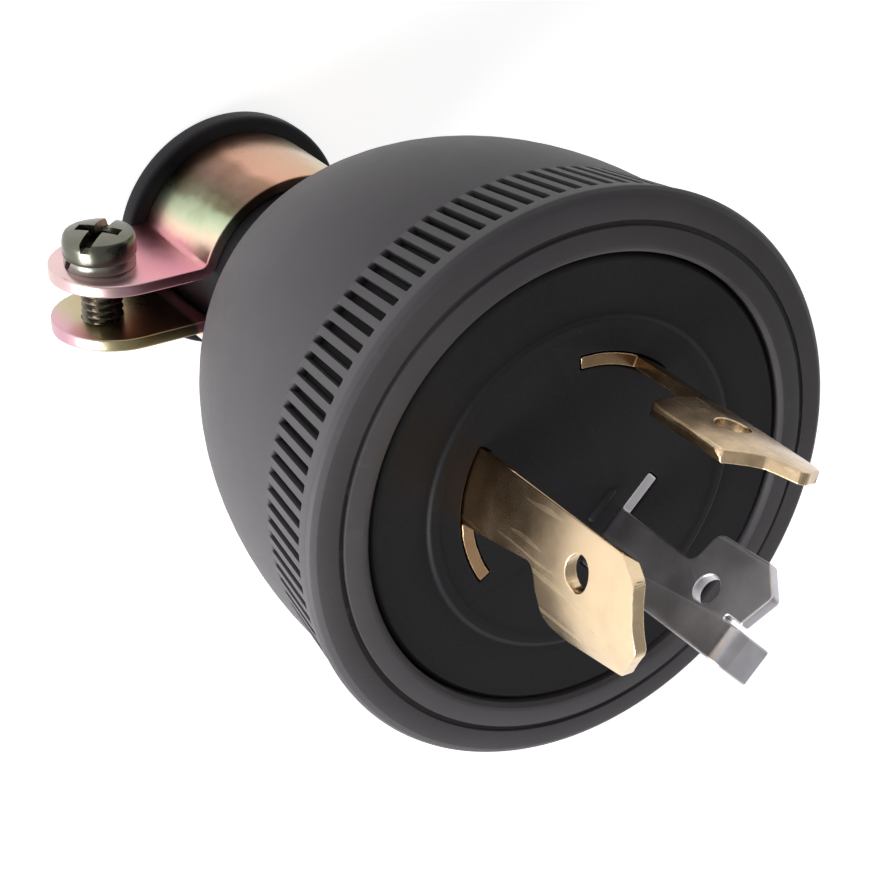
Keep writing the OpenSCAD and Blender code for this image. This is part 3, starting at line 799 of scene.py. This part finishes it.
def build_band(material):
    """Clamp band bent from strip. One ear has a clearance hole, and the other a drawn, tapped collar."""
    outside = EAR_GAP / 2 + STRIP
    collar_r, collar_h, root, clearance, tapped = 2.9, 1.0, 0.6, 2.2, 2.05
    rows = [[tuple(c * MM for c in point) for point in row] for row in band_rows()]
    mesh = smoothed(woven(rows, caps=True), "clamp_strip")
    turn = turned((EAR_HOLE, 0, 0), (0, 1, 0), (1, 0, 0))
    collar = [(AXIS, outside - root), (collar_r, outside - root), (collar_r, outside + 0.7),
              (2.72, outside + 0.93), (2.5, outside + collar_h), (AXIS, outside + collar_h)]
    mesh = carved(mesh, round_body("collar", collar, turn), "UNION")
    for low, high, r in ((-outside - 1, 0, clearance), (0, outside + collar_h + 1, tapped)):
        mesh = carved(mesh, round_body("drill", [(AXIS, low), (r, low), (r, high), (AXIS, high)], turn))
    low, high = CAD["clamp_band"]
    place = Matrix.Translation((0, 0, (low.z + high.z) / 2))
    mesh.transform(place @ Matrix.Rotation(EARS, 4, "Z"))
    mesh.set_sharp_from_angle(angle=math.radians(32))
    mesh.materials.clear()
    return linked("clamp_strip", mesh, material, "clamp_band")


def wedge(length, width, low, high, taper):
    """A straight cutter for a screw's drive: a tapered bar between two heights, in millimetres."""
    rows = []
    for z, spread in ((low, 0), (high, taper)):
        x, y = (length + spread) / 2, (width + spread) / 2
        rows.append([(sx * x * MM, sy * y * MM, z * MM) for sx, sy in ((1, 1), (-1, 1), (-1, -1), (1, -1))])
    return smoothed(woven(rows, caps=True), "wedge", 20)


def screw_mesh(name, head_d, head_h, shank_d, shank_l, pitch, slot=False):
    """Pan head screw on the Z axis: its head stands on z = 0 and its threaded shank runs down."""
    edge, shank = head_d / 2, shank_d / 2
    plain, point, relief, chamfer = 0.3, 0.4, 0.1, 0.35
    crown, sink = 0.93 * edge, 0.14
    outline = [(max(crown * k / 12, AXIS), head_h * (1 - sink * (k / 12) ** 3)) for k in range(13)]
    outline += [(0.975 * edge, 0.76 * head_h), (edge, 0.55 * head_h), (edge, 0.1 * head_h)]
    outline += [(edge - relief, 0), (shank + relief, 0), (shank, -relief), (shank, -plain)]
    start = len(outline)
    threaded = shank_l - (plain + point)
    steps = int(threaded / pitch * 6)
    outline += [(shank, -plain - threaded * k / steps) for k in range(steps + 1)]
    outline += [(shank - chamfer, -shank_l), (AXIS, -shank_l)]
    depth = 0.54 * pitch

    def change(angle, k, r, z):
        if start <= k < len(outline) - 2:
            flank = abs(2 * ((z / pitch + angle / (2 * math.pi)) % 1.0) - 1)
            return r - depth * ease(-z, plain, 1.0) * ease(flank, 0.1, 0.9), z
        return r, z

    mesh = smoothed(lathe(outline, even(72), closed=False, change=change), name, 55)
    long, narrow = 0.56 * head_d, 0.12 * head_d
    bars = [(long, narrow, 0.35 * head_h), (narrow, long, 0.35 * head_h)]
    if slot:
        bars.append((1.3 * head_d, 0.13 * head_d, 0.55 * head_h))
    for length, width, low in bars:
        mesh = carved(mesh, wedge(length, width, low, 1.2 * head_h, 0.09 * head_d))
    mesh.polygons.foreach_set("use_smooth", [True] * len(mesh.polygons))
    mesh.set_sharp_from_angle(angle=math.radians(35))
    mesh.materials.clear()
    return mesh


def washer_mesh(name, outer, height):
    """Spring washer on z = 0: one turn of square wire, split on a slant."""
    inner, gap, lean, steps = WASHER_BORE, 0.7, math.radians(25), 72
    middle = (inner + outer) / 2
    section = soften([(inner, 0), (outer, 0), (outer, height), (inner, height)], 0.12, 2)
    opening = gap / 2 / middle
    rows = []
    for k in range(steps + 1):
        share = k / steps
        angle = opening + (2 * math.pi - 2 * opening) * share
        slant = math.tan(lean) * abs(2 * share - 1) ** 6
        row = []
        for r, z in section:
            a = angle + slant * (z - height / 2) / middle
            row.append((r * math.cos(a) * MM, r * math.sin(a) * MM, z * MM))
        rows.append(row)
    return smoothed(woven(rows, caps=True), name)


class PLUG_OT_mouldings(bpy.types.Operator):
    """Builds the ribbed cover, and rounds the edges of the core and of the barrier"""

    bl_idname = "plug.mouldings"
    bl_label = "Mouldings"

    def execute(self, context):
        finish, detail = context.scene.plug_finish, context.scene.plug_detail
        cover = moulding("cover_plastic", finish.cover, finish.gloss + 0.13, dust=0.06, rub_and_highlight=0.2)
        build_cover(detail, cover)
        core = moulding("core_plastic", finish.core, finish.gloss, dust=0.04, rub_and_highlight=0.3, shine=0.22)
        rounded_copy("core_block", "core", core, detail.edge)
        barrier = moulding("barrier_plastic", finish.barrier, 0.5, dust=0.1, rub_and_highlight=0.1)
        rounded_copy("barrier_block", "terminal_barrier", barrier, detail.edge)
        return {"FINISHED"}


class PLUG_OT_blades(bpy.types.Operator):
    """Rounds the edges of the two line blades and of the ground blade"""

    bl_idname = "plug.blades"
    bl_label = "Blades"

    def execute(self, context):
        finish, detail = context.scene.plug_finish, context.scene.plug_detail
        face = CAD["cover"][1].z / MM
        # Painted shade browns each line blade from the core's face outwards; the right blade's shade
        # reaches further and is darker.
        for side, reach, shade_tint in (("left", 12, (0.72, 0.58, 0.47)), ("right", 36, (0.42, 0.36, 0.31))):
            brass = metal("bright_brass_" + side, finish.brass, 0.24, stain=0.18,
                          base_shade=(face - 1, face + reach, shade_tint))
            rolled_copy("hook_blade_" + side, "line_blade_" + side, brass, detail.metal_edge)
        nickel = metal("dull_nickel", finish.nickel, 0.33, metallic=0.93)
        rounded_copy("flat_blade_ground", "ground_blade", nickel, 1.5 * detail.metal_edge, steps=3)
        return {"FINISHED"}


class PLUG_OT_terminals(bpy.types.Operator):
    """Builds the terminal screws, their spring washers, the wire plates and the barrier screws"""

    bl_idname = "plug.terminals"
    bl_label = "Terminals"

    def execute(self, context):
        finish, detail = context.scene.plug_finish, context.scene.plug_detail
        terminal = metal("plain_brass", finish.terminal, 0.3)
        zinc = metal("zinc_plate", finish.zinc, 0.3)
        green = metal("green_plate", finish.green, 0.35)
        for side in ("left", "right", "ground"):
            plate = green if side == "ground" else terminal
            self.screw("terminal_screw_" + side, plate, shank_d=4.0, head_h=2.4, pitch=detail.pitch)
            rounded_copy("clamp_plate_" + side, "wire_plate_" + side, terminal, detail.metal_edge)
            self.washer("spring_" + side, "terminal_washer_" + side, zinc)
        for letter in "abc":
            self.screw("barrier_screw_" + letter, zinc, shank_d=3.0, head_h=1.9, pitch=0.5)
        return {"FINISHED"}

    def washer(self, name, node, material):
        """Spring washer in the place of a CAD node."""
        low, high = CAD[node]
        middle = middle_of(node)
        mesh = washer_mesh(name, (high.y - low.y) / (2 * MM), (high.z - low.z) / MM)
        mesh.transform(Matrix.Translation((middle.x * MM, middle.y * MM, low.z)))
        linked(name, mesh, material, node)

    def screw(self, node, material, shank_d, head_h, pitch):
        """Screw whose head looks down, in the place of a CAD node."""
        low, high = CAD[node]
        name = node.replace("screw", "fixing")
        length = (high.z - low.z) / MM - head_h
        mesh = screw_mesh(name, (high.x - low.x) / MM, head_h, shank_d, length, pitch)
        middle = middle_of(node)
        mesh.transform(turned((middle.x, middle.y, low.z / MM + head_h), (0, 0, -1), (1, 0, 0)))
        linked(name, mesh, material, node)


class PLUG_OT_clamp(bpy.types.Operator):
    """Builds the cord bush, the clamp band and its screw and spring washer"""

    bl_idname = "plug.clamp"
    bl_label = "Cord clamp"

    def execute(self, context):
        finish, detail = context.scene.plug_finish, context.scene.plug_detail
        build_bush(moulding("black_rubber", finish.rubber, 0.5, dust=0.03, rub_and_highlight=0.2, shine=0.22))
        build_band(chromate("chromate_plate"))
        zinc = metal("zinc_plate", finish.zinc, 0.3)
        washer_h = 1.0
        up, along = Vector((0, 0, 1)), Vector((math.cos(EARS), math.sin(EARS), 0))
        out = along.cross(up)
        place = EAR_HOLE * along + (EAR_GAP / 2 + STRIP) * out + middle_of("clamp_band").z * up
        screw = screw_mesh("clamp_fixing", head_d=7.0, head_h=2.48, shank_d=4.0, shank_l=9.3,
                           pitch=detail.pitch, slot=True)
        screw.transform(turned(place + washer_h * out, out, (along + 0.9 * up).normalized()))
        # The clamp screw's colour is dark olive plate darkened further as painted shade.
        linked("clamp_fixing", screw, metal("screw_plate", finish.screw, 0.24), "clamp_screw")
        washer = washer_mesh("clamp_spring", outer=3.4, height=washer_h)
        washer.transform(turned(place, out, along))
        linked("clamp_spring", washer, zinc, "clamp_spring_washer")
        return {"FINISHED"}


# ---------------------------------------------------------------- stage


def lamp(name, place, target, size, power):
    """Square soft light at a place, turned to a target."""
    light = bpy.data.lights.new(name, "AREA")
    light.size = size
    light.energy = power
    item = bpy.data.objects.new(name, light)
    item.location = place
    item.rotation_euler = (Vector(target) - Vector(place)).to_track_quat("-Z", "Y").to_euler()
    bpy.context.scene.collection.objects.link(item)


def floor_material():
    """Pale floor that shows white to the camera and in reflections and still takes a shadow."""
    material, tree = start_material("floor_paper")
    path = tree.nodes.new("ShaderNodeLightPath").outputs
    seen = maths(tree, "MAXIMUM", path["Is Camera Ray"], path["Is Glossy Ray"])
    seen = maths(tree, "MAXIMUM", seen, path["Is Transmission Ray"])
    place = tree.nodes.new("ShaderNodeTexCoord").outputs["Object"]
    tone = ramp(tree, noise(tree, place, 30.0, 4.0), (0.3, 0.8), (0.7, 0.84))
    paper = add(tree, "ShaderNodeBsdfDiffuse", Color=tone).outputs[0]
    strength = maths(tree, "MULTIPLY", seen, 0.8)
    glow = add(tree, "ShaderNodeEmission", Color=(1.0, 1.0, 1.0), Strength=strength).outputs[0]
    both = add(tree, "ShaderNodeAddShader", i0=paper, i1=glow).outputs[0]
    add(tree, "ShaderNodeOutputMaterial", Surface=both)
    return material


class PLUG_OT_stage(bpy.types.Operator):
    """Adds the floor, the lamps, the room and the camera"""

    bl_idname = "plug.stage"
    bl_label = "Stage"

    def execute(self, context):
        scene = context.scene
        stage = scene.plug_stage
        mesh = bpy.data.meshes.new("floor")
        half = 3.0
        corners = [(-half, -half, 0), (half, -half, 0), (half, half, 0), (-half, half, 0)]
        mesh.from_pydata(corners, [], [(0, 1, 2, 3)])
        mesh.materials.append(floor_material())
        floor = bpy.data.objects.new("floor", mesh)
        scene.collection.objects.link(floor)

        camera_data = bpy.data.cameras.new("camera")
        camera_data.lens = stage.lens
        camera_data.sensor_width = 36
        camera_data.clip_start = 0.01
        camera = bpy.data.objects.new("camera", camera_data)
        right = Vector(stage.camera_right).normalized()
        up = Vector(stage.camera_up)
        up = (up - right * up.dot(right)).normalized()
        turn = Matrix((right, up, right.cross(up))).transposed().to_4x4()
        camera.matrix_world = Matrix.Translation(stage.camera) @ turn
        scene.collection.objects.link(camera)
        scene.camera = camera

        middle = (0.0, 0.0, 0.045)
        lamp("key", (-0.58, 0.22, 0.18), middle, size=0.35, power=4.8)
        lamp("fill", (0.45, 0.3, 0.35), middle, size=0.4, power=0.05)

        world = bpy.data.worlds.new("room")
        world.use_nodes = True
        tree = world.node_tree
        tree.nodes.clear()
        path = tree.nodes.new("ShaderNodeLightPath").outputs
        seen = maths(tree, "MAXIMUM", path["Is Glossy Ray"], path["Is Transmission Ray"])
        way = tree.nodes.new("ShaderNodeTexCoord").outputs["Generated"]
        height = add(tree, "ShaderNodeSeparateXYZ", Vector=way).outputs["Z"]
        wall = ramp(tree, height, (0.0, 1.0), (0.35, 0.8), (0.75, 0.35))
        level = blend(tree, seen, (stage.room, stage.room, stage.room), wall)
        level = blend(tree, path["Is Camera Ray"], level, (1.0, 1.0, 1.0))
        room = add(tree, "ShaderNodeBackground", Color=level, Strength=1.0)
        add(tree, "ShaderNodeOutputWorld", Surface=room.outputs[0])
        scene.world = world
        scene.view_settings.view_transform = "Standard"
        return {"FINISHED"}


# ---------------------------------------------------------------- add-on


class PLUG_PT_panel(bpy.types.Panel):
    """Lists the plug's pieces and settings"""

    bl_idname = "PLUG_PT_panel"
    bl_label = "Locking Power Plug"
    bl_space_type = "VIEW_3D"
    bl_region_type = "UI"
    bl_category = "Plug"

    def draw(self, context):
        layout = self.layout
        for operator in BUILDERS:
            layout.operator(operator.bl_idname)
        for group in (context.scene.plug_finish, context.scene.plug_detail, context.scene.plug_stage):
            for name in group.bl_rna.properties.keys():
                if name not in ("rna_type", "name"):
                    layout.prop(group, name)


BUILDERS = (PLUG_OT_stage, PLUG_OT_mouldings, PLUG_OT_blades, PLUG_OT_terminals, PLUG_OT_clamp)
CLASSES = (PlugFinish, PlugDetail, PlugStage, *BUILDERS, PLUG_PT_panel)


def register():
    for item in CLASSES:
        bpy.utils.register_class(item)
    bpy.types.Scene.plug_finish = PointerProperty(type=PlugFinish)
    bpy.types.Scene.plug_detail = PointerProperty(type=PlugDetail)
    bpy.types.Scene.plug_stage = PointerProperty(type=PlugStage)


def unregister():
    del bpy.types.Scene.plug_stage
    del bpy.types.Scene.plug_detail
    del bpy.types.Scene.plug_finish
    for item in reversed(CLASSES):
        bpy.utils.unregister_class(item)


def main():
    register()
    for operator in BUILDERS:
        group, name = operator.bl_idname.split(".")
        getattr(getattr(bpy.ops, group), name)()


if __name__ == "__main__":
    main()
